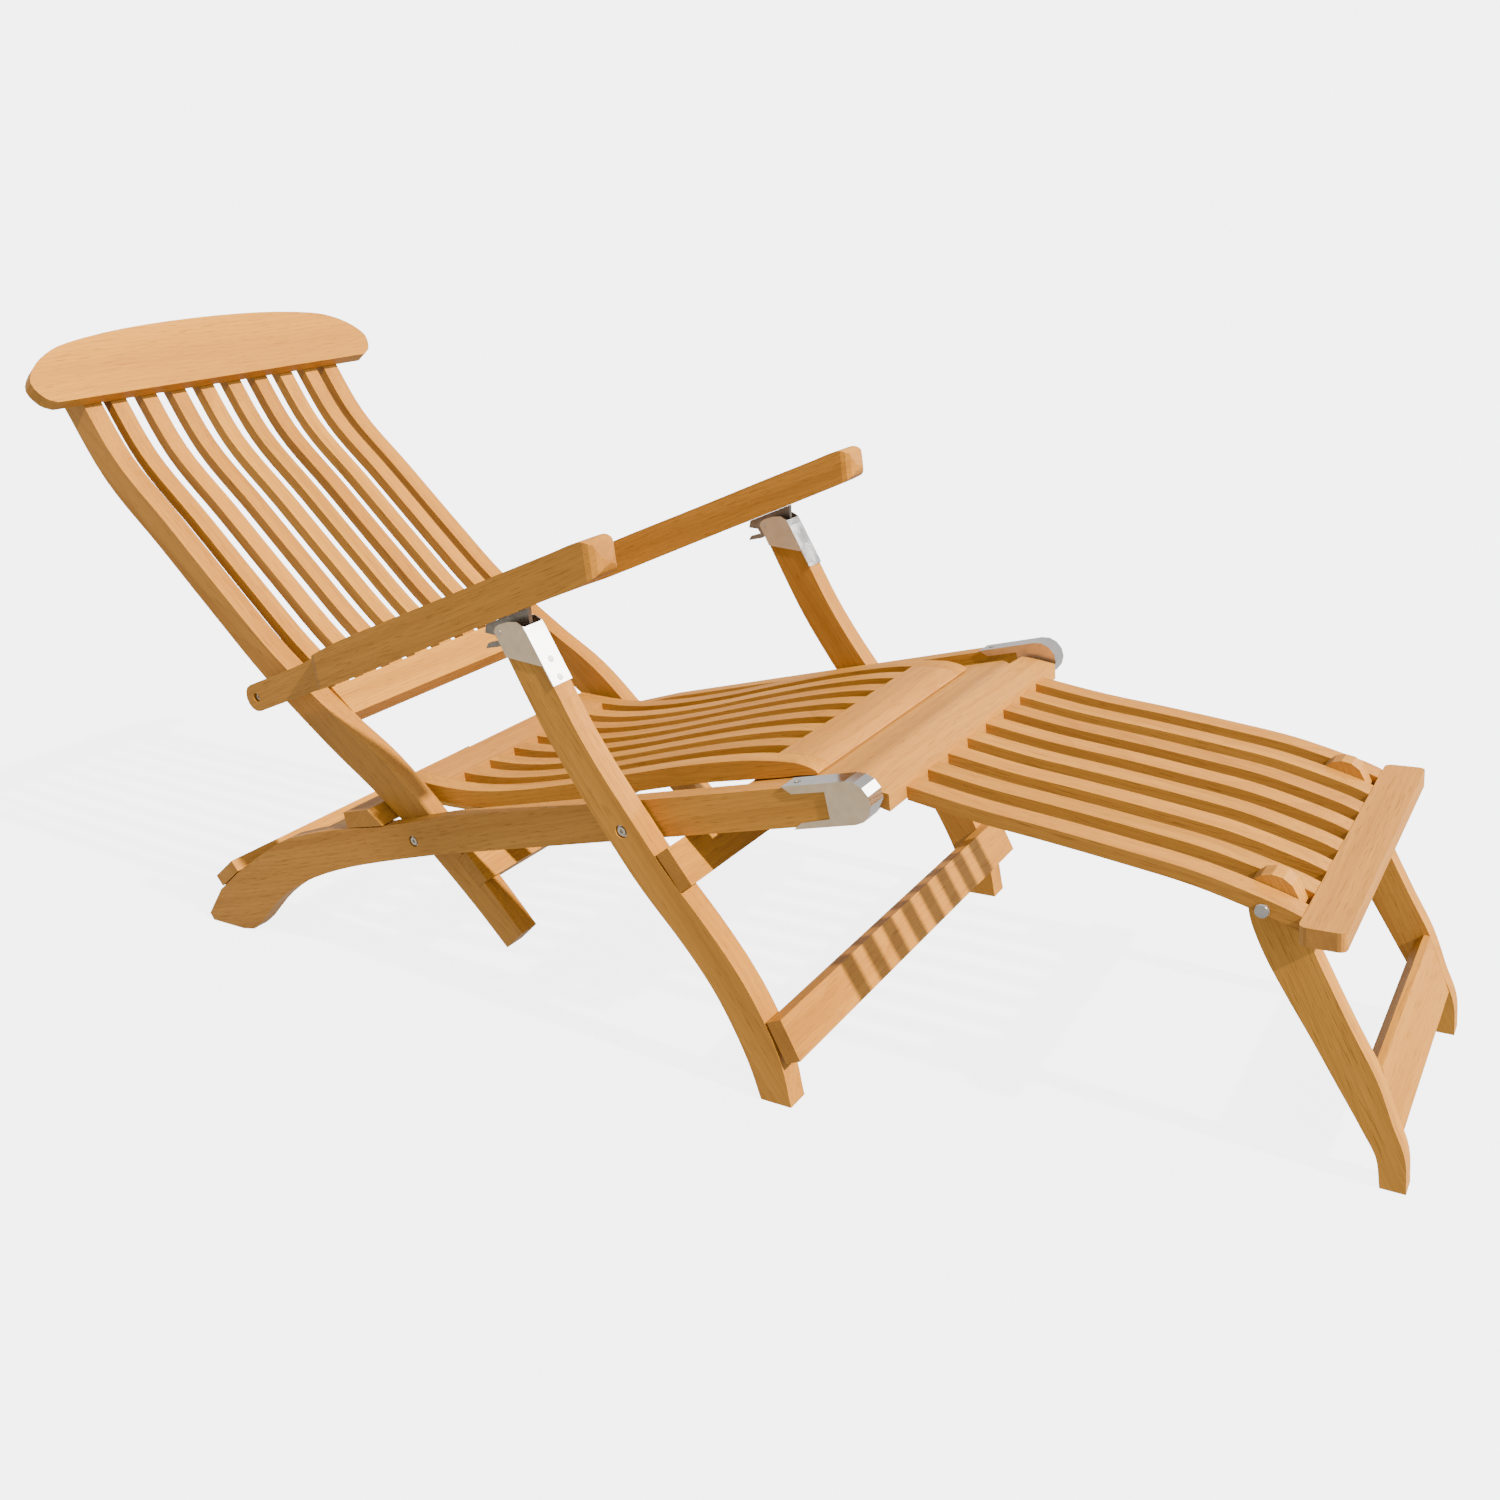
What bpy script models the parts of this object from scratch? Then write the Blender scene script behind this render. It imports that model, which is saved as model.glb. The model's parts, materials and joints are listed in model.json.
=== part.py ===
"""Folding teak deck chair with a draw-off footrest, as separate boards, fittings and bolts.

Metres, +Z up, ground at z = 0. +X runs from the backrest to the footrest, +Y is the sitter's left.
Every wooden piece is a board cut to a side profile and placed by its two faces across the chair.
"""

import math

import bmesh
import bpy
from mathutils import Matrix, Vector

COLLECTION_NAME = "folding_deck_chair"

# Clearances and drawing steps
GAP = 0.0003  # between two pieces that touch
ROUND_STEPS = 7  # points on a half-round end
CURVE_STEPS = 5  # points between two points of a smooth path
BOLT_SIDES = 16

# Across the chair: distances from the centre plane
RAIL_IN, RAIL_OUT = 0.2465, 0.2720
LEG_IN, LEG_OUT = 0.2765, 0.3070
STILE_IN, STILE_OUT = 0.2155, 0.2455
ARM_IN, ARM_OUT = 0.2640, 0.3080
ARM_REAR_OUT = 0.2900  # the arm is thinner where it meets the stile
ARM_PLAN_REAR, ARM_STEP, ARM_PLAN_FRONT, ARM_CORNER = -0.6000, -0.4000, 0.1450, 0.0190
SLAT_WIDTH = 0.0270
SLAT_COUNT = 8
SEAT_HALF = 0.2000
BACK_HALF = 0.2000
FOOTREST_HALF = 0.1970
HEADER_TONGUE_HALF, HEADER_EAR_HALF, HEADER_NOTCH_HALF = 0.2310, 0.2370, 0.2040
END_BOARD_HALF = 0.2160
FOOT_LEG_IN, FOOT_LEG_OUT = 0.1452, 0.1688

# Pivots in the side view (x, z)
BACK_PIVOT = (-0.3000, 0.2305)
LEG_PIVOT = (0.1195, 0.3245)
ARM_PIVOT = (-0.5580, 0.4265)
HOOK_PIN = (-0.0235, 0.5625)
FOOT_LEG_PIVOT = (0.8200, 0.3030)

# Bolts
BOLT_RADIUS = 0.0040
BOLT_HEAD_RADIUS, BOLT_HEAD_DEPTH, BOLT_SINK = 0.0085, 0.0025, 0.0030
WASHER_RADIUS = 0.0100
SMALL_BOLT_RADIUS, SMALL_HEAD_RADIUS, SMALL_HEAD_HEIGHT = 0.0030, 0.0075, 0.0035
ARM_RECESS_RADIUS, ARM_RECESS_DEPTH = 0.0070, 0.0080
HOOK_PIN_RADIUS = 0.0030

# Directions of cut ends in the side view
UPRIGHT, LEVEL = (0.0, 1.0), (1.0, 0.0)

# Side paths of the curved boards: (x, z, half depth)
STILE_PATH = (
    (-0.9228, 0.8689, 0.0245),
    (-0.8588, 0.7529, 0.0245),
    (-0.7618, 0.6519, 0.0240),
    (-0.6658, 0.5509, 0.0240),
    (-0.5758, 0.4599, 0.0245),
    (-0.4638, 0.3699, 0.0280),
    (-0.3758, 0.3069, 0.0300),
    (-0.2948, 0.2329, 0.0250),
    (-0.2178, 0.1549, 0.0240),
    (-0.1618, 0.0899, 0.0225),
)
LEG_PATH = (
    (-0.0015, 0.5515, 0.0235),
    (0.0265, 0.4895, 0.0245),
    (0.0525, 0.4345, 0.0245),
    (0.0845, 0.3785, 0.0245),
    (0.1195, 0.3245, 0.0250),
    (0.1575, 0.2685, 0.0250),
    (0.2085, 0.2055, 0.0245),
    (0.2455, 0.1525, 0.0245),
    (0.2710, 0.1025, 0.0250),
    (0.2895, 0.0500, 0.0240),
    (0.2985, 0.0000, 0.0210),
)
ARM_PATH = (
    (-0.5610, 0.4255, 0.0205),
    (-0.4880, 0.4485, 0.0205),
    (-0.4300, 0.4670, 0.0208),
    (-0.3900, 0.4815, 0.0230),
    (-0.3450, 0.4975, 0.0255),
    (-0.2760, 0.5210, 0.0258),
    (-0.1640, 0.5575, 0.0248),
    (-0.0840, 0.5835, 0.0243),
    (0.0000, 0.6110, 0.0240),
    (0.0830, 0.6380, 0.0232),
    (0.1150, 0.6490, 0.0228),
    (0.1310, 0.6545, 0.0205),
    (0.1420, 0.6583, 0.0120),
)
SEAT_PATH = (
    (-0.378, 0.2775, 0.0122),
    (-0.300, 0.2728, 0.0122),
    (-0.230, 0.2755, 0.0122),
    (-0.150, 0.2875, 0.0122),
    (-0.050, 0.3095, 0.0122),
    (0.050, 0.3355, 0.0122),
    (0.150, 0.3600, 0.0122),
    (0.230, 0.3755, 0.0122),
    (0.280, 0.3829, 0.0102),
)
SEAT_NOSE = ((0.303, 0.3940), (0.318, 0.3920), (0.329, 0.3885), (0.3338, 0.3850), (0.331, 0.3828), (0.312, 0.3795))
FOOTREST_PATH = (
    (0.4453, 0.3740, 0.0080),
    (0.525, 0.3595, 0.0080),
    (0.607, 0.3485, 0.0080),
    (0.685, 0.3370, 0.0080),
    (0.758, 0.3245, 0.0080),
    (0.827, 0.3050, 0.0080),
    (0.8557, 0.2940, 0.0080),
)
FOOT_LEG_PATH = (
    (0.822, 0.304, 0.0240),
    (0.828, 0.280, 0.0265),
    (0.838, 0.247, 0.0240),
    (0.856, 0.209, 0.0225),
    (0.880, 0.162, 0.0205),
    (0.904, 0.115, 0.0195),
    (0.923, 0.071, 0.0155),
    (0.9365, 0.038, 0.0135),
    (0.9400, 0.000, 0.0122),
)
HEADER_TOP = ((0.240, 0.3622), (0.276, 0.3697), (0.311, 0.3772), (0.365, 0.3885), (0.399, 0.3955), (0.445, 0.3885))
HEADER_THICKNESS, HEADER_FRONT_GROWTH = 0.0165, 0.0038
HEADER_HEIGHTS = (0.3000, 0.4500)  # clear below and above the header, for its plan's block

# Main rail: its straight upper part narrows from the back pivot to the knee, its rear end is a sabre foot
RAIL_TOP = (
    (-0.282, 0.264),
    (-0.368, 0.242),
    (-0.439, 0.229),
    (-0.509, 0.213),
    (-0.564, 0.197),
    (-0.618, 0.177),
    (-0.734, 0.112),
)
RAIL_FOOT = ((-0.804, 0.065), (-0.854, 0.012), (-0.848, 0.000), (-0.766, 0.000), (-0.738, 0.005))
RAIL_BOTTOM = (
    (-0.710, 0.024),
    (-0.664, 0.063),
    (-0.619, 0.094),
    (-0.570, 0.120),
    (-0.516, 0.143),
    (-0.452, 0.165),
    (-0.378, 0.186),
    (-0.297, 0.207),
)
RAIL_START_TOP, RAIL_START_BOTTOM = (-0.224, 0.279), (-0.240, 0.221)
KNEE = (0.418, 0.389)
KNEE_RADIUS = 0.0230

# Cross rails: (x, z) of the section's centre, angle of its long side, width, thickness
REAR_FOOT_RAIL = ((-0.7755, 0.0985), 34.0, 0.0640, 0.0200)
SEAT_BATTEN = ((-0.2200, 0.2500), 8.0, 0.0500, 0.0210)
FRONT_SUPPORT_RAIL = ((0.2800, 0.3430), 12.0, 0.0440, 0.0130)
LOWER_BACK_RAIL = ((-0.4720, 0.3957), -43.0, 0.0530, 0.0300)
STILE_FOOT_RAIL = ((-0.2198, 0.1889), -50.0, 0.0500, 0.0220)
LEG_UPPER_RAIL = ((0.1922, 0.2866), -56.0, 0.0520, 0.0220)
LEG_LOWER_RAIL = ((0.3195, 0.0895), -67.0, 0.0540, 0.0220)

# Crest board, drawn in its own leaning plane
CREST_FOOT = (-0.8598, 0.8549)
CREST_LEAN = math.radians(29.0)
CREST_BOTTOM = 0.0085
CREST_THICKNESS = 0.0230
CREST_HALF_OUTLINE = (
    (0.0000, 0.1180),
    (0.1300, 0.1140),
    (0.2300, 0.1020),
    (0.2740, 0.0880),
    (0.3040, 0.0680),
    (0.3200, 0.0440),
    (0.3120, 0.0190),
    (0.2960, 0.0085),
)
CREST_LAP = 0.0400  # how far the slats run up behind the board
SEAT_REACH, SEAT_FORWARD, SEAT_HALF_WIDTH = 0.2000, 0.0600, 0.0300  # block that houses the crest in a stile

# Ends of the panels along the chair
SEAT_REAR_BOARD_END = -0.3110
SEAT_FRONT_BOARD_START = 0.2650
FOOTREST_END = (0.8560, 0.8990)
END_BOARD_Z = (0.2820, 0.3020)
BACK_SLAT_HALF = 0.0095
BACK_SLAT_FORWARD = 0.0145
SLAT_END_MARGIN = 0.0030  # keeps the path's points clear of a slat's cut ends

# Sheet-metal fittings
CAP_SHEET = 0.0017
CAP_CHEEK = 0.0013
BRACKET_CHEEK = 0.0012
CAP_CHEEK_START = 0.3870
CAP_TONGUE_START = 0.3320
CAP_FLANGE = 0.0080
CAP_TIP_SLANT, CAP_TIP_FLANGE = 0.0120, 0.0050
CAP_LOWER_START = 0.3420
CAP_CHEEK_SLANT = 0.0040
LUG_THICKNESS = 0.0060
LUG_SLACK = 0.0006  # room round the hook pin
LUG_SLOT_DEPTH, LUG_LIP = 0.0095, 0.0040
PIN_SHY = 0.0002  # the pin's ends stop inside the cheeks' outer faces
ARM_HEIGHTS = (0.3500, 0.7500)  # clear below and above an armrest, for its plan's block
CUT_REACH = 0.0100  # how far a cutter runs past the faces that it cuts
BOLT_SHORT = 0.0010  # a bolt's tip stops this far inside the last board

# Colours (linear) with roughness and metallic value
FINISHES = {
    "teak": ((0.52, 0.26, 0.085), 0.55, 0.0),
    "teak_board": ((0.55, 0.27, 0.11), 0.55, 0.0),
    "chrome": ((0.80, 0.80, 0.80), 0.12, 1.0),
    "steel": ((0.55, 0.53, 0.48), 0.32, 1.0),
}


# ---------------------------------------------------------------- scene set-up


def clear_scene():
    for old in list(bpy.data.objects):
        bpy.data.objects.remove(old, do_unlink=True)


def new_collection(name):
    collection = bpy.data.collections.new(name)
    bpy.context.scene.collection.children.link(collection)
    return collection


def make_materials():
    materials = {}
    for name, (colour, roughness, metallic) in FINISHES.items():
        material = bpy.data.materials.new(name)
        material.use_nodes = True
        shader = material.node_tree.nodes["Principled BSDF"]
        shader.inputs["Base Color"].default_value = (*colour, 1.0)
        shader.inputs["Roughness"].default_value = roughness
        shader.inputs["Metallic"].default_value = metallic
        materials[name] = material
    return materials


def add_pivot(name, point):
    """An empty on a joint's axis, which the moving pieces hang from."""
    pivot = bpy.data.objects.new(name, None)
    pivot.location = (point[0], 0.0, point[1])
    PARTS.objects.link(pivot)
    return pivot


# ---------------------------------------------------------------- outlines in the side view


def smooth(points, steps=CURVE_STEPS):
    """Catmull-Rom curve through the points, ends included."""
    rows = [Vector(p) for p in points]
    rows = [2 * rows[0] - rows[1]] + rows + [2 * rows[-1] - rows[-2]]
    curve = []
    for a, b, c, d in zip(rows, rows[1:], rows[2:], rows[3:]):
        for k in range(steps):
            t = k / steps
            linear = c - a
            square = 2 * a - 5 * b + 4 * c - d
            cube = 3 * b - a - 3 * c + d
            curve.append(b + 0.5 * t * (linear + t * (square + t * cube)))
    curve.append(rows[-2])
    return curve


def trim(path, low, high):
    """The stretch of a smooth path between two x values."""
    kept = [p for p in path if low < p[0] < high]
    if path[0][0] < low:
        kept.insert(0, at_x(path, low))
    if path[-1][0] > high:
        kept.append(at_x(path, high))
    return kept


def at_x(path, x):
    for a, b in zip(path, path[1:]):
        if a[0] <= x <= b[0]:
            return a.lerp(b, (x - a[0]) / (b[0] - a[0]))
    return path[-1]


def left_normals(path):
    """Unit normal at each point, to the left of the path's direction."""
    normals = []
    last = len(path) - 1
    for i in range(len(path)):
        before, after = path[max(i - 1, 0)], path[min(i + 1, last)]
        along = Vector((after[0] - before[0], after[1] - before[1])).normalized()
        normals.append(Vector((-along.y, along.x)))
    return normals


def band(path, shift=0.0, round_start=False, round_end=False, start_edge=None, end_edge=None):
    """Outline of a board of varying depth along a path of (x, z, half depth).

    An end is square to the path unless it is rounded or its edge is given a direction."""
    sides = left_normals(path)
    if start_edge:
        sides[0] = slanted(sides[0], start_edge)
    if end_edge:
        sides[-1] = slanted(sides[-1], end_edge)
    left = [Vector(p[:2]) + n * (p[2] + shift) for p, n in zip(path, sides)]
    right = [Vector(p[:2]) - n * (p[2] - shift) for p, n in zip(path, sides)]
    outline = list(left)
    if round_end:
        outline += half_round(left[-1], right[-1])
    outline += reversed(right)
    if round_start:
        outline += half_round(right[0], left[0])
    return outline


def slanted(normal, edge):
    """A normal swung into the direction of a cut end, long enough to keep the board's depth."""
    edge = Vector(edge)
    return edge / (edge @ normal)


def half_round(start, end):
    """Points of a half circle from one point to another, turning clockwise, ends left out."""
    centre = (start + end) / 2
    spoke = start - centre
    points = []
    for k in range(1, ROUND_STEPS):
        turn = -math.pi * k / ROUND_STEPS
        points.append(centre + Matrix.Rotation(turn, 2) @ spoke)
    return points


def tilted_box(centre, angle, width, thickness, grow=0.0):
    """Corners of a rail's section, its long side at an angle to the ground."""
    turn = Matrix.Rotation(math.radians(angle), 2)
    half_w, half_t = width / 2 + grow, thickness / 2 + grow
    corners = ((-half_w, -half_t), (half_w, -half_t), (half_w, half_t), (-half_w, half_t))
    return [Vector(centre) + turn @ Vector(corner) for corner in corners]


# ---------------------------------------------------------------- solids


def link(obj, material, pivot=None):
    PARTS.objects.link(obj)
    obj.data.materials.clear()
    obj.data.materials.append(MATERIALS[material])
    if pivot:
        obj.parent = pivot
        obj.location = -pivot.location
    return obj


def mesh_object(name, build):
    """An object whose mesh a function fills in through bmesh."""
    mesh = bpy.data.meshes.new(name)
    bm = bmesh.new()
    build(bm)
    bmesh.ops.recalc_face_normals(bm, faces=bm.faces)
    bm.to_mesh(mesh)
    bm.free()
    return bpy.data.objects.new(name, mesh)


def prism(name, outline, depth, placement):
    """A flat outline filled and given a depth along its own Z, then placed."""
    curve = bpy.data.curves.new(name + "_outline", "CURVE")
    curve.dimensions = "2D"
    curve.fill_mode = "BOTH"
    curve.extrude = depth / 2
    spline = curve.splines.new("POLY")
    spline.points.add(len(outline) - 1)
    for point, place in zip(spline.points, outline):
        point.co = (place[0], place[1], 0.0, 1.0)
    spline.use_cyclic_u = True
    drawn = bpy.data.objects.new(name + "_outline", curve)
    bpy.context.scene.collection.objects.link(drawn)
    evaluated = drawn.evaluated_get(bpy.context.evaluated_depsgraph_get())
    mesh = bpy.data.meshes.new_from_object(evaluated)
    mesh.name = name
    bm = bmesh.new()
    bm.from_mesh(mesh)
    bmesh.ops.remove_doubles(bm, verts=bm.verts, dist=0.00001)
    bmesh.ops.transform(bm, matrix=placement, verts=bm.verts)
    bmesh.ops.recalc_face_normals(bm, faces=bm.faces)
    bm.to_mesh(mesh)
    bm.free()
    bpy.data.objects.remove(drawn, do_unlink=True)
    return bpy.data.objects.new(name, mesh)


def board(name, outline, y_low, y_high):
    """A side-view outline between two faces across the chair."""
    middle = (y_low + y_high) / 2
    placement = Matrix.Translation((0.0, middle, 0.0)) @ Matrix.Rotation(math.pi / 2, 4, "X")
    return prism(name, outline, y_high - y_low, placement)


def sided_board(name, outline, side, inner, outer):
    """A board on one side of the chair: side is -1 or 1."""
    low, high = sorted((side * inner, side * outer))
    return board(name, outline, low, high)


def plan_block(name, outline, z_low, z_high):
    """A plan outline (x, y) between two heights."""
    placement = Matrix.Translation((0.0, 0.0, (z_low + z_high) / 2))
    return prism(name, outline, z_high - z_low, placement)


def cross_cylinder(name, point, radius, y_low, y_high):
    """A cylinder across the chair."""

    def build(bm):
        bmesh.ops.create_cone(
            bm,
            cap_ends=True,
            segments=BOLT_SIDES,
            radius1=radius,
            radius2=radius,
            depth=y_high - y_low,
        )
        place = Matrix.Translation((point[0], (y_low + y_high) / 2, point[1]))
        bmesh.ops.transform(bm, matrix=place @ Matrix.Rotation(math.pi / 2, 4, "X"), verts=bm.verts)

    return mesh_object(name, build)


def turned_bolt(name, point, side, profile):
    """A turned piece on a cross axis: profile holds (radius, distance from the centre plane)."""
    mesh = bpy.data.meshes.new(name)
    bm = bmesh.new()
    rows = [bm.verts.new((radius, 0.0, height)) for radius, height in profile]
    for a, b in zip(rows, rows[1:]):
        bm.edges.new((a, b))
    bmesh.ops.spin(
        bm,
        geom=list(bm.verts) + list(bm.edges),
        cent=(0.0, 0.0, 0.0),
        axis=(0.0, 0.0, 1.0),
        angle=2 * math.pi,
        steps=BOLT_SIDES,
    )
    bmesh.ops.remove_doubles(bm, verts=bm.verts, dist=0.00001)
    turn = Matrix.Rotation(-side * math.pi / 2, 4, "X")
    bmesh.ops.transform(bm, matrix=Matrix.Translation((point[0], 0.0, point[1])) @ turn, verts=bm.verts)
    bmesh.ops.recalc_face_normals(bm, faces=bm.faces)
    bm.to_mesh(mesh)
    bm.free()
    return bpy.data.objects.new(name, mesh)


def combine(obj, other, operation):
    """Boolean with a second object, which is kept out of the render as a cutter."""
    CUTTERS.objects.link(other)
    other.hide_render = True
    other.display_type = "WIRE"
    modifier = obj.modifiers.new(other.name, "BOOLEAN")
    modifier.operation = operation
    modifier.object = other
    return obj


def cut(obj, cutter):
    return combine(obj, cutter, "DIFFERENCE")


def drill(obj, label, point, radius, y_low, y_high):
    """A round hole across the chair."""
    return cut(obj, cross_cylinder(f"{obj.name}_{label}", point, radius, y_low, y_high))


def side_name(base, side):
    return f"{base}_left" if side > 0 else f"{base}_right"


def slat_faces(half_width, index):
    """Outer and inner y of one slat in a panel of evenly spaced slats."""
    pitch = (2 * half_width - SLAT_WIDTH) / (SLAT_COUNT - 1)
    low = -half_width + pitch * index
    return low, low + SLAT_WIDTH


# ---------------------------------------------------------------- main frame and seat


def knee_up():
    """Direction across the rail's straight part, from its lower edge to its upper edge."""
    along = (Vector(KNEE) - (Vector(RAIL_START_TOP) + Vector(RAIL_START_BOTTOM)) / 2).normalized()
    return Vector((-along.y, along.x))


def rail_outline():
    top = smooth([RAIL_START_TOP, *RAIL_TOP], 2)
    bottom = smooth([RAIL_FOOT[-1], *RAIL_BOTTOM, RAIL_START_BOTTOM], 2)
    up = knee_up() * KNEE_RADIUS
    knee_top, knee_bottom = Vector(KNEE) + up, Vector(KNEE) - up
    round_end = half_round(knee_top, knee_bottom)
    foot = [Vector(p) for p in RAIL_FOOT[:-1]]
    return top + foot + bottom + [knee_bottom] + list(reversed(round_end)) + [knee_top]


def add_side_rails():
    for side in (-1, 1):
        rail = sided_board(side_name("side_rail", side), rail_outline(), side, RAIL_IN, RAIL_OUT)
        for label, pivot in (("back_hole", BACK_PIVOT), ("leg_hole", LEG_PIVOT)):
            low, high = sorted((side * (RAIL_IN - CUT_REACH), side * (RAIL_OUT + CUT_REACH)))
            drill(rail, label, pivot, BOLT_RADIUS + GAP, low, high)
        low, high = sorted((side * (RAIL_OUT - BOLT_SINK - BOLT_HEAD_DEPTH), side * (RAIL_OUT + CUT_REACH)))
        drill(rail, "head_recess", BACK_PIVOT, BOLT_HEAD_RADIUS + GAP, low, high)
        link(rail, "teak")


def add_frame_cross_rails():
    link(board("rear_foot_rail", tilted_box(*REAR_FOOT_RAIL), -RAIL_OUT, RAIL_OUT), "teak")
    half = RAIL_IN - GAP
    link(board("seat_batten", tilted_box(*SEAT_BATTEN), -SEAT_HALF, SEAT_HALF), "teak")
    link(board("front_support_rail", tilted_box(*FRONT_SUPPORT_RAIL), -half, half), "teak")
    rest = [(-0.4400, 0.2300), (-0.3600, 0.2452), (-0.3862, 0.2665), (-0.4410, 0.2545)]
    link(board("back_rest_rail", rest, -RAIL_OUT, RAIL_OUT), "teak")


def with_nose(path, start_edge=None):
    """Outline of a seat member that ends in the rounded front edge."""
    body = band(path, start_edge=start_edge)
    count = len(path)
    return body[:count] + smooth(SEAT_NOSE, 2) + body[count:]


def add_seat():
    path = smooth(SEAT_PATH)
    rear = trim(path, -1.0, SEAT_REAR_BOARD_END - GAP)
    front = trim(path, SEAT_FRONT_BOARD_START + GAP, 1.0)
    between = trim(path, SEAT_REAR_BOARD_END, SEAT_FRONT_BOARD_START)
    inner = SEAT_HALF - SLAT_WIDTH - GAP
    link(board("seat_rear_board", band(rear, end_edge=UPRIGHT), -inner, inner), "teak_board")
    link(board("seat_front_board", with_nose(front, UPRIGHT), -inner, inner), "teak_board")
    for index in range(SLAT_COUNT):
        at_edge = index in (0, SLAT_COUNT - 1)
        outline = with_nose(path) if at_edge else band(between, start_edge=UPRIGHT, end_edge=UPRIGHT)
        low, high = slat_faces(SEAT_HALF, index)
        link(board(f"seat_slat_{index + 1}", outline, low, high), "teak")


def cap_side_outline():
    """Cheek round the knee, with two tongues that run back along the rail's edges."""
    up = knee_up()
    outer = KNEE_RADIUS + GAP + CAP_SHEET
    top_far, bottom_far = Vector(KNEE) + up * outer, Vector(KNEE) - up * outer
    top_edge = Vector((CAP_TONGUE_START, rail_edge_z(1, CAP_TONGUE_START)))
    bottom_edge = Vector((CAP_LOWER_START, rail_edge_z(-1, CAP_LOWER_START)))
    sheet = GAP + CAP_SHEET
    inner_top = Vector((CAP_CHEEK_START, rail_edge_z(1, CAP_CHEEK_START) - CAP_FLANGE))
    inner_bottom = Vector((CAP_CHEEK_START + CAP_CHEEK_SLANT, rail_edge_z(-1, CAP_CHEEK_START) + CAP_FLANGE))
    return [
        top_edge + up * sheet,
        top_far,
        *half_round(top_far, bottom_far),
        bottom_far,
        bottom_edge - up * sheet,
        bottom_edge + Vector((CAP_TIP_SLANT, CAP_FLANGE)),
        inner_bottom,
        inner_top,
        top_edge + Vector((CAP_TIP_SLANT, -CAP_TIP_FLANGE)),
    ]


def rail_edge_z(sign, x):
    """Height of the main rail's straight top or bottom edge."""
    knee_edge = Vector(KNEE) + knee_up() * KNEE_RADIUS * sign
    start = Vector(RAIL_START_TOP if sign > 0 else RAIL_START_BOTTOM)
    return start.y + (knee_edge.y - start.y) * (x - start.x) / (knee_edge.x - start.x)


def knee_cavity():
    """The rail's end grown by the fitting gap, which hollows the cap."""
    up = knee_up() * (KNEE_RADIUS + GAP)
    start = CAP_TONGUE_START - 2.0 * CUT_REACH
    top = Vector((start, rail_edge_z(1, start) + GAP))
    bottom = Vector((start, rail_edge_z(-1, start) - GAP))
    knee_top, knee_bottom = Vector(KNEE) + up, Vector(KNEE) - up
    return [top, knee_top, *half_round(knee_top, knee_bottom), knee_bottom, bottom]


def add_knee_caps():
    for side in (-1, 1):
        name = side_name("knee_cap", side)
        inner, outer = RAIL_IN - GAP - CAP_CHEEK, RAIL_OUT + GAP + CAP_CHEEK
        cap = sided_board(name, cap_side_outline(), side, inner, outer)
        cavity = sided_board(name + "_cavity", knee_cavity(), side, RAIL_IN - GAP, RAIL_OUT + GAP)
        link(cut(cap, cavity), "chrome")


def bolt_profile(tip, head_face, collar=None):
    """Countersunk-washer bolt from its tip to its head, with an optional collar between two boards."""
    rows = [(0.0, tip), (BOLT_RADIUS, tip)]
    if collar:
        rows += [(BOLT_RADIUS, collar[0]), (WASHER_RADIUS, collar[0])]
        rows += [(WASHER_RADIUS, collar[1]), (BOLT_RADIUS, collar[1])]
    seat = head_face - BOLT_HEAD_DEPTH + GAP
    rows += [(BOLT_RADIUS, seat), (BOLT_HEAD_RADIUS, seat), (BOLT_HEAD_RADIUS, head_face), (0.0, head_face)]
    return rows


def add_frame_bolts():
    back = bolt_profile(STILE_IN + BOLT_SHORT, RAIL_OUT - BOLT_SINK, (STILE_OUT + GAP, RAIL_IN - GAP))
    leg = bolt_profile(RAIL_IN + BOLT_SHORT, LEG_OUT - BOLT_SINK, (RAIL_OUT + GAP, LEG_IN - GAP))
    for side in (-1, 1):
        link(turned_bolt(side_name("back_pivot_bolt", side), BACK_PIVOT, side, back), "steel")
        link(turned_bolt(side_name("leg_pivot_bolt", side), LEG_PIVOT, side, leg), "steel")


# ---------------------------------------------------------------- backrest


def crest_frame():
    """Places crest coordinates (across, up the lean, forward) in the world."""
    up = Vector((-math.sin(CREST_LEAN), 0.0, math.cos(CREST_LEAN)))
    forward = Vector((math.cos(CREST_LEAN), 0.0, math.sin(CREST_LEAN)))
    across = Vector((0.0, 1.0, 0.0))
    placed = Matrix((across, up, forward)).transposed().to_4x4()
    placed.translation = (CREST_FOOT[0], 0.0, CREST_FOOT[1])
    return placed


def crest_outline():
    """Arched top and round ends over a level bottom, the same on both sides."""
    other_half = [(-across, up) for across, up in reversed(CREST_HALF_OUTLINE[1:])]
    return smooth([*other_half, *CREST_HALF_OUTLINE], 3)


def add_crest(pivot):
    placed = crest_frame() @ Matrix.Translation((0.0, 0.0, -CREST_THICKNESS / 2))
    link(prism("crest_rail", crest_outline(), CREST_THICKNESS, placed), "teak_board", pivot)


def crest_seat(name, side):
    """The housing cut in a stile for the crest board."""
    low, high = CREST_BOTTOM - GAP, CREST_BOTTOM + SEAT_REACH
    middle = side * (STILE_IN + STILE_OUT) / 2
    left, right = middle - SEAT_HALF_WIDTH, middle + SEAT_HALF_WIDTH
    outline = [(left, low), (right, low), (right, high), (left, high)]
    depth = CREST_THICKNESS + GAP + SEAT_FORWARD
    placed = crest_frame() @ Matrix.Translation((0.0, 0.0, SEAT_FORWARD - depth / 2))
    return prism(name, outline, depth, placed)


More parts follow.
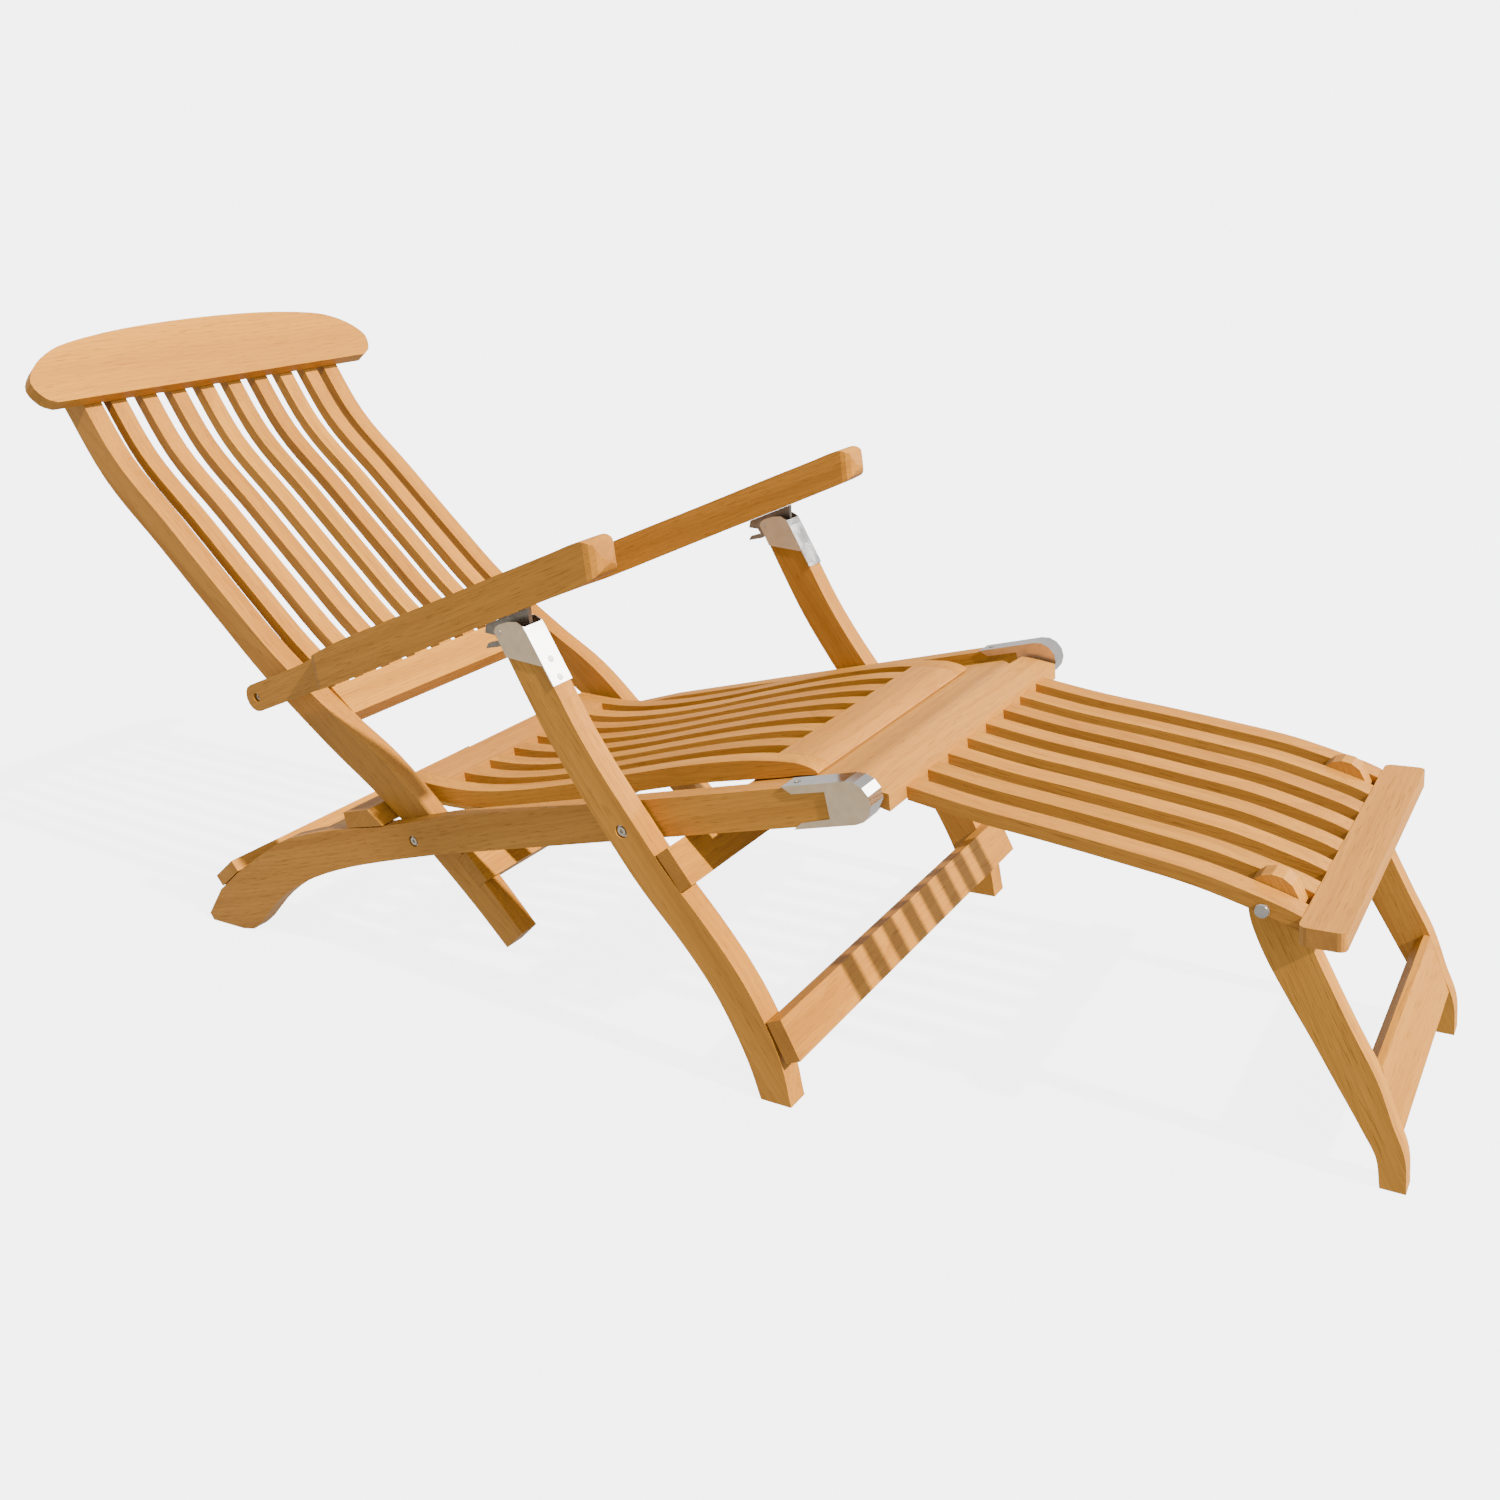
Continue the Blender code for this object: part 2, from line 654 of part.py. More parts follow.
def add_stiles(pivot):
    outline = band(smooth(STILE_PATH), round_start=True)
    for side in (-1, 1):
        stile = sided_board(side_name("back_stile", side), outline, side, STILE_IN, STILE_OUT)
        cut(stile, crest_seat(stile.name + "_crest_seat", side))
        rail = tilted_box(*STILE_FOOT_RAIL, grow=GAP)
        cut(stile, sided_board(stile.name + "_rail_notch", rail, side, STILE_IN - CUT_REACH, STILE_OUT + CUT_REACH))
        low, high = sorted((side * (STILE_IN - CUT_REACH), side * (STILE_OUT + CUT_REACH)))
        drill(stile, "pivot_hole", BACK_PIVOT, BOLT_RADIUS + GAP, low, high)
        link(stile, "teak", pivot)


def add_back_rails(pivot):
    half = STILE_IN - GAP
    link(board("lower_back_rail", tilted_box(*LOWER_BACK_RAIL), -half, half), "teak", pivot)
    foot = board("stile_foot_rail", tilted_box(*STILE_FOOT_RAIL), -STILE_OUT, STILE_OUT)
    link(foot, "teak", pivot)


def crossing(path, point, direction):
    """Where a path passes the line through a point at right angles to a direction."""
    for a, b in zip(path, path[1:]):
        before = (Vector(a[:2]) - Vector(point)) @ direction
        after = (Vector(b[:2]) - Vector(point)) @ direction
        if before * after <= 0.0:
            return a.lerp(b, before / (before - after))
    return path[-1]


def add_back_slats(pivot):
    """Slats follow the stiles; their tops lap behind the crest, their feet stand on the lower rail."""
    path = smooth([(x, z, BACK_SLAT_HALF) for x, z, _ in STILE_PATH])
    centre, angle, width, _ = LOWER_BACK_RAIL
    down = Matrix.Rotation(math.radians(angle), 2) @ Vector((1.0, 0.0))
    rail_edge = Vector(centre) - down * (width / 2 + GAP)
    crest_up = Vector((-math.sin(CREST_LEAN), math.cos(CREST_LEAN)))
    crest_edge = Vector(CREST_FOOT) + crest_up * CREST_LAP
    head, foot = crossing(path, crest_edge, crest_up), crossing(path, rail_edge, down)
    between = [p for p in path if head[0] + SLAT_END_MARGIN < p[0] < foot[0] - SLAT_END_MARGIN]
    outline = band([head, *between, foot], BACK_SLAT_FORWARD, end_edge=(-down.y, down.x))
    for index in range(SLAT_COUNT):
        low, high = slat_faces(BACK_HALF, index)
        link(board(f"back_slat_{index + 1}", outline, low, high), "teak", pivot)


# ---------------------------------------------------------------- armrests


def arm_plan(side):
    """Plan of an armrest: round front corners, and a curved step to the thinner rear end."""
    front, rear, step, corner = ARM_PLAN_FRONT, ARM_PLAN_REAR, ARM_STEP, ARM_CORNER
    outline = [(rear, ARM_IN), (front - corner, ARM_IN)]
    outline += corner_arc((front - corner, ARM_IN + corner), corner, -90.0, 0.0)
    outline += corner_arc((front - corner, ARM_OUT - corner), corner, 0.0, 90.0)
    drop = ARM_OUT - ARM_REAR_OUT
    outline.append((step + drop, ARM_OUT))
    outline += corner_arc((step + drop, ARM_REAR_OUT), drop, 90.0, 180.0)[1:]
    outline.append((rear, ARM_REAR_OUT))
    return [(x, side * y) for x, y in outline]


def corner_arc(centre, radius, start, end, steps=4):
    points = []
    for k in range(steps + 1):
        angle = math.radians(start + (end - start) * k / steps)
        points.append((centre[0] + radius * math.cos(angle), centre[1] + radius * math.sin(angle)))
    return points


def add_armrest(side, pivot):
    outline = band(smooth(ARM_PATH), round_start=True)
    arm = sided_board(side_name("armrest", side), outline, side, ARM_IN - CUT_REACH, ARM_OUT + CUT_REACH)
    combine(arm, plan_block(arm.name + "_plan", arm_plan(side), *ARM_HEIGHTS), "INTERSECT")
    low, high = sorted((side * (ARM_REAR_OUT - ARM_RECESS_DEPTH), side * (ARM_REAR_OUT + CUT_REACH)))
    drill(arm, "bolt_recess", ARM_PIVOT, ARM_RECESS_RADIUS, low, high)
    link(arm, "teak", pivot)


def lug_outline():
    """Plate under the arm: a slot open below for the pin, and a jaw at the rear."""
    pin_x, pin_z = HOOK_PIN
    slot = HOOK_PIN_RADIUS + LUG_SLACK
    slot_foot = pin_z - LUG_SLOT_DEPTH
    under_arm = [(x, arm_underside(x) - GAP) for x in (0.016, -0.016, -0.058)]
    crown = corner_arc((pin_x, pin_z), slot, 180.0, 0.0, steps=6)
    return [
        *under_arm,
        (-0.0615, 0.5555),
        (-0.0455, 0.5535),
        (-0.0415, 0.5465),
        (-0.0595, 0.5425),
        (-0.0645, 0.5355),
        (-0.0395, 0.5395),
        (pin_x - slot, slot_foot - LUG_LIP),
        *crown,
        (pin_x + slot, slot_foot),
        (0.0145, 0.5665),
    ]


def arm_underside(x):
    """Height of the armrest's lower edge."""
    path = smooth(ARM_PATH)
    lower = [Vector(p[:2]) - n * p[2] for p, n in zip(path, left_normals(path))]
    for a, b in zip(lower, lower[1:]):
        if a.x <= x <= b.x:
            return a.lerp(b, (x - a.x) / (b.x - a.x)).y
    return lower[-1].y


def add_arm_lug(side, pivot):
    middle, half = (LEG_IN + LEG_OUT) / 2, LUG_THICKNESS / 2
    lug = sided_board(side_name("arm_lug", side), lug_outline(), side, middle - half, middle + half)
    link(lug, "steel", pivot)


# ---------------------------------------------------------------- leg frame


def add_legs(pivot):
    outline = band(smooth(LEG_PATH), end_edge=LEVEL)
    for side in (-1, 1):
        leg = sided_board(side_name("front_leg", side), outline, side, LEG_IN, LEG_OUT)
        for label, rail in (("upper", LEG_UPPER_RAIL), ("lower", LEG_LOWER_RAIL)):
            notch = tilted_box(*rail, grow=GAP)
            name = f"{leg.name}_{label}_notch"
            cut(leg, sided_board(name, notch, side, LEG_IN - CUT_REACH, LEG_OUT + CUT_REACH))
        low, high = sorted((side * (LEG_IN - CUT_REACH), side * (LEG_OUT + CUT_REACH)))
        drill(leg, "pivot_hole", LEG_PIVOT, BOLT_RADIUS + GAP, low, high)
        low, high = sorted((side * (LEG_OUT - BOLT_SINK - BOLT_HEAD_DEPTH), side * (LEG_OUT + CUT_REACH)))
        drill(leg, "head_recess", LEG_PIVOT, BOLT_HEAD_RADIUS + GAP, low, high)
        link(leg, "teak", pivot)


def add_leg_rails(pivot):
    link(board("leg_upper_rail", tilted_box(*LEG_UPPER_RAIL), -LEG_OUT, LEG_OUT), "teak", pivot)
    link(board("leg_lower_rail", tilted_box(*LEG_LOWER_RAIL), -LEG_OUT, LEG_OUT), "teak", pivot)


def leg_front_edge(extra):
    """Upper front edge of a leg, moved forward, from its top down."""
    path = smooth(LEG_PATH)
    sides = left_normals(path)
    return [Vector(p[:2]) + n * (p[2] + extra) for p, n in zip(path, sides)]


def bracket_outline():
    """Round-topped cheek with a strap that runs down the leg's front edge."""
    outer = [p for p in leg_front_edge(GAP + CAP_SHEET) if p.y > 0.4995]
    inner = [p for p in leg_front_edge(0.0) if p.y > 0.4995]
    cheek_low = [p for p in inner if p.y < 0.5335]
    return [
        Vector((-0.0190, 0.5315)),
        Vector((-0.0320, 0.5625)),
        Vector((-0.0290, 0.5680)),
        Vector((-0.0215, 0.5720)),
        Vector((-0.0065, 0.5760)),
        Vector((0.0075, 0.5765)),
        Vector((0.0165, 0.5715)),
        *outer,
        *reversed(cheek_low),
    ]


def bracket_cavity():
    """Room for the leg's top and the arm's lug between the cheeks."""
    front = [p for p in leg_front_edge(GAP) if p.y > 0.4825]
    return [
        Vector((-0.0600, 0.4800)),
        Vector((-0.0600, 0.6000)),
        Vector((0.0105, 0.6000)),
        Vector((0.0175, 0.5685)),
        *front,
    ]


def add_brackets(pivot):
    for side in (-1, 1):
        name = side_name("leg_bracket", side)
        inner, outer = LEG_IN - GAP - BRACKET_CHEEK, LEG_OUT + GAP + BRACKET_CHEEK
        bracket = sided_board(name, bracket_outline(), side, inner, outer)
        cut(bracket, sided_board(name + "_cavity", bracket_cavity(), side, LEG_IN - GAP, LEG_OUT + GAP))
        low, high = sorted((side * (inner + PIN_SHY), side * (outer - PIN_SHY)))
        pin = cross_cylinder(name + "_pin", HOOK_PIN, HOOK_PIN_RADIUS, low, high)
        link(combine(bracket, pin, "UNION"), "chrome", pivot)


# ---------------------------------------------------------------- footrest


def header_plan():
    rear, front = HEADER_TOP[0][0], HEADER_TOP[-1][0]
    half = [
        (rear, HEADER_TONGUE_HALF),
        (0.372, HEADER_TONGUE_HALF),
        (0.394, HEADER_NOTCH_HALF),
        (0.398, HEADER_EAR_HALF),
        (front, HEADER_EAR_HALF),
    ]
    return half + [(x, -y) for x, y in reversed(half)]


def header_depth(x):
    """Thickness of the header, which grows from its ridge to its front edge."""
    ridge, front = HEADER_TOP[-2][0], HEADER_TOP[-1][0]
    return HEADER_THICKNESS + HEADER_FRONT_GROWTH * max(0.0, (x - ridge) / (front - ridge))


def add_header():
    top = smooth(HEADER_TOP)
    outline = top + [p - Vector((0.0, header_depth(p.x))) for p in reversed(top)]
    header = board("footrest_header", outline, -HEADER_EAR_HALF - CUT_REACH, HEADER_EAR_HALF + CUT_REACH)
    combine(header, plan_block("footrest_header_plan", header_plan(), *HEADER_HEIGHTS), "INTERSECT")
    link(header, "teak_board")


def add_footrest_slats():
    outline = band(smooth(FOOTREST_PATH), start_edge=UPRIGHT, end_edge=UPRIGHT)
    for index in range(SLAT_COUNT):
        low, high = slat_faces(FOOTREST_HALF, index)
        slat = board(f"footrest_slat_{index + 1}", outline, low, high)
        if index in (0, SLAT_COUNT - 1):
            drill(slat, "pivot_hole", FOOT_LEG_PIVOT, SMALL_BOLT_RADIUS + GAP, low - CUT_REACH, high + CUT_REACH)
        link(slat, "teak")


def add_end_board():
    rear, front = FOOTREST_END
    corner = 0.008
    half = [(rear, END_BOARD_HALF - corner)]
    half += corner_arc((rear + corner, END_BOARD_HALF - corner), corner, 180.0, 90.0)[1:]
    half += corner_arc((front - corner, END_BOARD_HALF - corner), corner, 90.0, 0.0)
    outline = half + [(x, -y) for x, y in reversed(half)]
    link(plan_block("footrest_end_board", outline, *END_BOARD_Z), "teak_board")


def add_footrest_legs(pivot):
    outline = band(smooth(FOOT_LEG_PATH), round_start=True, end_edge=LEVEL)
    for side in (-1, 1):
        name = side_name("footrest_leg", side)
        leg = sided_board(name, outline, side, FOOT_LEG_IN, FOOT_LEG_OUT)
        low, high = sorted((side * (FOOT_LEG_IN - CUT_REACH), side * (FOOT_LEG_OUT + CUT_REACH)))
        drill(leg, "pivot_hole", FOOT_LEG_PIVOT, SMALL_BOLT_RADIUS + GAP, low, high)
        link(leg, "teak", pivot)
    half = FOOT_LEG_IN - GAP
    rail = [(0.915, 0.124), (0.922, 0.124), (0.931, 0.096), (0.944, 0.056), (0.926, 0.052), (0.905, 0.112)]
    link(board("footrest_leg_rail", rail, -half, half), "teak", pivot)


def add_footrest_bolts():
    outer = FOOTREST_HALF + GAP
    dome = outer + SMALL_HEAD_HEIGHT
    profile = [
        (0.0, FOOT_LEG_IN + BOLT_SHORT),
        (SMALL_BOLT_RADIUS, FOOT_LEG_IN + BOLT_SHORT),
        (SMALL_BOLT_RADIUS, outer),
        (SMALL_HEAD_RADIUS, outer),
        (SMALL_HEAD_RADIUS * 0.92, outer + SMALL_HEAD_HEIGHT * 0.45),
        (SMALL_HEAD_RADIUS * 0.62, outer + SMALL_HEAD_HEIGHT * 0.85),
        (0.0, dome),
    ]
    for side in (-1, 1):
        link(turned_bolt(side_name("footrest_pivot_bolt", side), FOOT_LEG_PIVOT, side, profile), "chrome")


def main():
    add_side_rails()
    add_frame_cross_rails()
    add_seat()
    add_knee_caps()
    add_frame_bolts()

    back_axis = add_pivot("back_axis", BACK_PIVOT)
    add_stiles(back_axis)
    add_crest(back_axis)
    add_back_rails(back_axis)
    add_back_slats(back_axis)

    for side in (-1, 1):
        arm_axis = add_pivot(side_name("arm_axis", side), ARM_PIVOT)
        add_armrest(side, arm_axis)
        add_arm_lug(side, arm_axis)

    leg_axis = add_pivot("leg_axis", LEG_PIVOT)
    add_legs(leg_axis)
    add_leg_rails(leg_axis)
    add_brackets(leg_axis)

    add_header()
    add_footrest_slats()
    add_end_board()
    foot_leg_axis = add_pivot("footrest_leg_axis", FOOT_LEG_PIVOT)
    add_footrest_legs(foot_leg_axis)
    add_footrest_bolts()


clear_scene()
PARTS = new_collection(COLLECTION_NAME)
CUTTERS = new_collection("cutters")
MATERIALS = make_materials()
main()
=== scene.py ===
"""Looks of the folding deck chair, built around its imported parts.

Every board gets its own teak with the grain running along its length, rounded edges come from
modifiers, and the small hardware (bolt heads, screws, rivets) is modelled here and rides on the bodies.
"""

import json
import math
import random

import bmesh
import bpy
from mathutils import Matrix, Vector


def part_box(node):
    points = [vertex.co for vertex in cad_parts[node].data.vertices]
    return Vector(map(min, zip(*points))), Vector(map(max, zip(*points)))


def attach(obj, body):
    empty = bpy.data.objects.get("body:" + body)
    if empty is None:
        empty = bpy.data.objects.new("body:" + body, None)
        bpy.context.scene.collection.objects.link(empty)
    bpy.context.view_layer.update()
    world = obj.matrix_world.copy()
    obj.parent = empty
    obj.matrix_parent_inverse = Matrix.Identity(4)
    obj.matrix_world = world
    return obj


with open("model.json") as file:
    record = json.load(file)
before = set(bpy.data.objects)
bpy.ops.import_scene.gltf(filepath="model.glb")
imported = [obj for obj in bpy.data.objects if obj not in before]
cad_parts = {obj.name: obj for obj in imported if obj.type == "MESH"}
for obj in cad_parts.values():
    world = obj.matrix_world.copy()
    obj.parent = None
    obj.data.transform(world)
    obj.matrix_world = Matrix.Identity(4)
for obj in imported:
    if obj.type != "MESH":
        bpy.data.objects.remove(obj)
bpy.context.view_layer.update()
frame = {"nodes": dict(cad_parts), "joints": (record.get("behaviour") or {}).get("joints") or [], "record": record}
NODES = frame["nodes"]
BODIES = frame["record"]["behaviour"]["bodies"]
NODE_BODY = {node: body for body, nodes in BODIES.items() for node in nodes}
SIDES = (("right", -1), ("left", 1))

# The reference's view: from the sitter's right and front, slightly rolled
CAMERA_AZIMUTH = math.radians(36.57)
CAMERA_ELEVATION = math.radians(18.30)
CAMERA_ROLL = math.radians(-6.87)
CAMERA_PLACE = Vector((1.1166, -1.4154, 0.9495))
CAMERA_LENS, CAMERA_SENSOR = 32.55, 36.0
CAMERA_SHIFT = (0.0161, -0.0261)
CAMERA_REACH = 200.0

# Light and floor
SUN_DIRECTION = Vector((0.778, -0.081, 0.623)).normalized()
SUN_IRRADIANCE = 12.5
SUN_COLOUR = (1.0, 0.80, 0.50)
SUN_ANGLE = math.radians(1.5)
SUN_DISTANCE = 6.0
CARD_DIRECTION, CARD_DISTANCE = (3.0, 3.5, 1.85), 5.0
CARD_SIZE, CARD_POWER, CARD_COLOUR = 1.9, 120.0, (1.0, 0.98, 0.95)
MIDDLE = Vector((0.0, 0.0, 0.4))  # of the chair, where the card points
SKY_COLOUR, SKY_STRENGTH = (1.0, 0.98, 0.95), 0.95
FLOOR_COLOUR = (0.25, 0.30, 0.42)
FLOOR_GLOW = 4.6  # light of the stage's own, so that shadows on it stay pale
FLOOR_DROP = 0.0005
STAGE_RADIUS, STAGE_SIDES = 60.0, 64

# Axis of the pin that the armrest's lug hooks on, in the bracket at the top of the leg
HOOK_PIN_X, HOOK_PIN_Z = -0.0235, 0.5625


# ---------------------------------------------------------------- camera, light and floor


def add_camera():
    """The camera from its azimuth, elevation and roll."""
    right = Vector((math.cos(CAMERA_AZIMUTH), math.sin(CAMERA_AZIMUTH), 0.0))
    level_back = Vector((math.sin(CAMERA_AZIMUTH), -math.cos(CAMERA_AZIMUTH), 0.0))
    back = level_back * math.cos(CAMERA_ELEVATION)
    back.z = math.sin(CAMERA_ELEVATION)
    up = back.cross(right)
    turned_right = math.cos(CAMERA_ROLL) * right + math.sin(CAMERA_ROLL) * up
    turned_up = math.cos(CAMERA_ROLL) * up - math.sin(CAMERA_ROLL) * right
    turn = Matrix((turned_right, turned_up, back)).transposed()
    data = bpy.data.cameras.new("camera")
    data.sensor_width = CAMERA_SENSOR
    data.lens = CAMERA_LENS
    data.shift_x, data.shift_y = CAMERA_SHIFT
    data.clip_end = CAMERA_REACH
    camera = bpy.data.objects.new("camera", data)
    camera.matrix_world = Matrix.Translation(CAMERA_PLACE) @ turn.to_4x4()
    bpy.context.scene.collection.objects.link(camera)
    bpy.context.scene.camera = camera


def add_mesh(name, bm):
    """A new object from a bmesh, which is freed."""
    mesh = bpy.data.meshes.new(name)
    bm.to_mesh(mesh)
    bm.free()
    obj = bpy.data.objects.new(name, mesh)
    bpy.context.scene.collection.objects.link(obj)
    return obj


def aim(obj, target):
    obj.rotation_euler = (Vector(target) - obj.location).to_track_quat("-Z", "Y").to_euler()


def add_sun():
    """Low warm sun from the chair's front, hard enough to throw the slats' shadows on the leg rail."""
    data = bpy.data.lights.new("sun", "SUN")
    data.energy = SUN_IRRADIANCE
    data.color = SUN_COLOUR
    data.angle = SUN_ANGLE
    sun = bpy.data.objects.new("sun", data)
    sun.location = SUN_DIRECTION * SUN_DISTANCE
    bpy.context.scene.collection.objects.link(sun)
    aim(sun, (0.0, 0.0, 0.0))


def add_card():
    """Round soft light on the sitter's left, which the polished straps mirror."""
    data = bpy.data.lights.new("side_card", "AREA")
    data.shape = "DISK"
    data.size = CARD_SIZE
    data.energy = CARD_POWER
    data.color = CARD_COLOUR
    light = bpy.data.objects.new("side_card", data)
    light.location = MIDDLE + Vector(CARD_DIRECTION).normalized() * CARD_DISTANCE
    bpy.context.scene.collection.objects.link(light)
    aim(light, MIDDLE)


def add_world():
    world = bpy.data.worlds.new("studio")
    world.use_nodes = True
    background = world.node_tree.nodes["Background"]
    background.inputs["Color"].default_value = (*SKY_COLOUR, 1.0)
    background.inputs["Strength"].default_value = SKY_STRENGTH
    bpy.context.scene.world = world


def floor_radiance():
    """Light that leaves the sunlit floor, channel by channel, so that the backdrop can match it."""
    sun = [SUN_IRRADIANCE / math.pi * SUN_DIRECTION.z * c for c in SUN_COLOUR]
    sky = [SKY_STRENGTH * c for c in SKY_COLOUR]
    return [FLOOR_GLOW + albedo * (a + b) for albedo, a, b in zip(FLOOR_COLOUR, sun, sky)]


def stage_material(name, colour, glow):
    """Matt material that also glows, so that shadows on it stay pale."""
    tree = Tree(name)
    tree.shader.inputs["Base Color"].default_value = (*colour, 1.0)
    tree.shader.inputs["Roughness"].default_value = 1.0
    tree.shader.inputs["Specular IOR Level"].default_value = 0.0
    tree.shader.inputs["Emission Color"].default_value = (*glow, 1.0)
    tree.shader.inputs["Emission Strength"].default_value = 1.0
    return tree.material


def add_stage():
    """A pale floor and a round backdrop of the same brightness, which send no light to the chair."""
    bm = bmesh.new()
    bmesh.ops.create_circle(bm, cap_ends=True, segments=STAGE_SIDES, radius=STAGE_RADIUS)
    floor = add_mesh("floor", bm)
    floor.location.z = -FLOOR_DROP
    floor.data.materials.append(stage_material("floor", FLOOR_COLOUR, (FLOOR_GLOW,) * 3))

    bm = bmesh.new()
    bmesh.ops.create_uvsphere(bm, u_segments=STAGE_SIDES, v_segments=STAGE_SIDES // 2, radius=STAGE_RADIUS)
    backdrop = add_mesh("backdrop", bm)
    backdrop.data.materials.append(stage_material("backdrop", (0.0, 0.0, 0.0), floor_radiance()))
    backdrop.visible_shadow = False
    for obj in (floor, backdrop):
        obj.visible_diffuse = False
        obj.visible_glossy = False


# ---------------------------------------------------------------- material building blocks


class Tree:
    """A material's node tree with short calls for the nodes used here."""

    def __init__(self, name):
        self.material = bpy.data.materials.new(name)
        self.material.use_nodes = True
        self.nodes = self.material.node_tree.nodes
        self.links = self.material.node_tree.links
        self.shader = self.nodes["Principled BSDF"]

    def add(self, kind, inputs=None, **settings):
        node = self.nodes.new(kind)
        for key, value in settings.items():
            setattr(node, key, value)
        for key, value in (inputs or {}).items():
            self.put(node.inputs[key], value)
        return node

    def put(self, socket, value):
        if isinstance(value, bpy.types.NodeSocket):
            self.links.new(value, socket)
        else:
            socket.default_value = value

    def math(self, operation, a, b=0.0):
        node = self.add("ShaderNodeMath", operation=operation)
        self.put(node.inputs[0], a)
        self.put(node.inputs[1], b)
        return node.outputs[0]

    def add_up(self, a, b):
        return self.math("ADD", a, b)

    def times(self, a, b):
        return self.math("MULTIPLY", a, b)

    def mix(self, factor, a, b, blend="MIX"):
        node = self.add("ShaderNodeMix", data_type="RGBA", blend_type=blend)
        self.put(node.inputs["Factor"], factor)
        for socket, value in zip([s for s in node.inputs if s.type == "RGBA"], (a, b)):
            self.put(socket, (*value, 1.0) if isinstance(value, tuple) and len(value) == 3 else value)
        return next(s for s in node.outputs if s.type == "RGBA")

    def noise(self, vector, scale, detail, roughness):
        inputs = {"Vector": vector, "Scale": scale, "Detail": detail, "Roughness": roughness}
        return self.add("ShaderNodeTexNoise", inputs).outputs["Fac"]

    def place(self, vector, **inputs):
        """A vector after the mapping node's Location, Rotation or Scale."""
        return self.add("ShaderNodeMapping", {"Vector": vector, **inputs}).outputs[0]

    def bump(self, height, strength, distance):
        inputs = {"Height": height, "Strength": strength, "Distance": distance}
        self.put(self.shader.inputs["Normal"], self.add("ShaderNodeBump", inputs).outputs["Normal"])

    def span(self, value, low, high, to_low=0.0, to_high=1.0):
        node = self.add("ShaderNodeMapRange", {"Value": value})
        for key, number in (("From Min", low), ("From Max", high), ("To Min", to_low), ("To Max", to_high)):
            node.inputs[key].default_value = number
        return node.outputs[0]


# ---------------------------------------------------------------- teak

TEAK_LIGHT, TEAK_MID, TEAK_DARK = (0.480, 0.226, 0.032), (0.395, 0.180, 0.023), (0.220, 0.088, 0.012)
PINK_LIGHT, PINK_MID, PINK_DARK = (0.480, 0.230, 0.048), (0.395, 0.182, 0.034), (0.220, 0.090, 0.018)
PORE_SHADE = 0.55

# Scale of each noise along the board and across it
WANDER_SCALE = (1.1, 2.0, 2.0)
STREAK_SCALE = (1.4, 42.0, 42.0)
BROAD_SCALE = (0.9, 7.0, 7.0)
FIBRE_SCALE = (14.0, 620.0, 620.0)
PORE_SCALE = (38.0, 900.0, 900.0)

# How far each part of the figure pulls the tone towards the dark one
STREAK_DEPTH, RING_DEPTH, FIBRE_DEPTH, PORE_DEPTH, END_DEPTH = 0.52, 0.22, 0.24, 0.38, 0.40

# Growth rings: the pith's place below the board, the line's wander, rings per metre, and their edge
PITH_ASIDE, PITH_DEPTH = 0.05, (0.05, 0.12)
RING_WANDER, RING_COUNT, RING_EDGE = 0.055, (120.0, 170.0), 2.5

FIGURE_SHIFT = 4.0  # every board is cut from its own place in the figure

# How far a board's tone moves, green's own part of that, and how strongly green and blue follow
SHADE_SPREAD, GREEN_SPREAD = 0.09, 0.02
GREEN_FOLLOWS, BLUE_FOLLOWS = 1.15, 1.3

TEAK_ROUGHNESS, PORE_ROUGHNESS, TEAK_SPECULAR = (0.46, 0.60), 0.12, 0.18
FIBRE_RELIEF, RING_RELIEF, PORE_RELIEF = 0.5, 0.25, 0.6
TEAK_RELIEF = (0.22, 0.0006)  # strength, and depth in metres
AXIS_ROUNDS = 12


def long_axis(node):
    """Direction of a board's longest stretch, from the spread of its corners."""
    points = [v.co for v in NODES[node].data.vertices]
    centre = sum(points, Vector()) / len(points)
    best = Vector((1.0, 0.0, 0.0))
    for _ in range(AXIS_ROUNDS):
        turned = Vector()
        for p in points:
            turned += (p - centre) * (p - centre).dot(best)
        best = turned.normalized()
    return best


def growth_rings(tree, grain, shift, draw):
    """Rings round a pith line that wanders slowly along the board, dark at each year's end."""
    wander = tree.noise(tree.place(grain, Scale=WANDER_SCALE), 1.6, 2.0, 0.5)
    parts = tree.add("ShaderNodeSeparateXYZ", {"Vector": grain})
    pith_y = shift[1] + draw.uniform(-PITH_ASIDE, PITH_ASIDE)
    pith_z = shift[2] - draw.uniform(*PITH_DEPTH)
    across = tree.math("POWER", tree.math("SUBTRACT", parts.outputs["Y"], pith_y), 2.0)
    height = tree.math("POWER", tree.math("SUBTRACT", parts.outputs["Z"], pith_z), 2.0)
    distance = tree.math("SQRT", tree.add_up(across, height))
    distance = tree.add_up(distance, tree.times(wander, RING_WANDER))
    ring = tree.math("FRACT", tree.times(distance, draw.uniform(*RING_COUNT)))
    return tree.math("POWER", ring, RING_EDGE)


def end_grain(tree, normal, along):
    """1 where a face cuts the board across, 0 on its sides."""
    facing = tree.add("ShaderNodeVectorMath", operation="DOT_PRODUCT")
    tree.put(facing.inputs[0], normal)
    facing.inputs[1].default_value = along
    return tree.span(tree.math("ABSOLUTE", facing.outputs["Value"]), 0.80, 0.97)


def board_tint(draw):
    """Each board is a little lighter, darker or redder than the next."""
    shade = draw.uniform(-SHADE_SPREAD, SHADE_SPREAD)
    green = shade * GREEN_FOLLOWS + draw.uniform(-GREEN_SPREAD, GREEN_SPREAD)
    return (1.0 + shade, 1.0 + green, 1.0 + shade * BLUE_FOLLOWS)


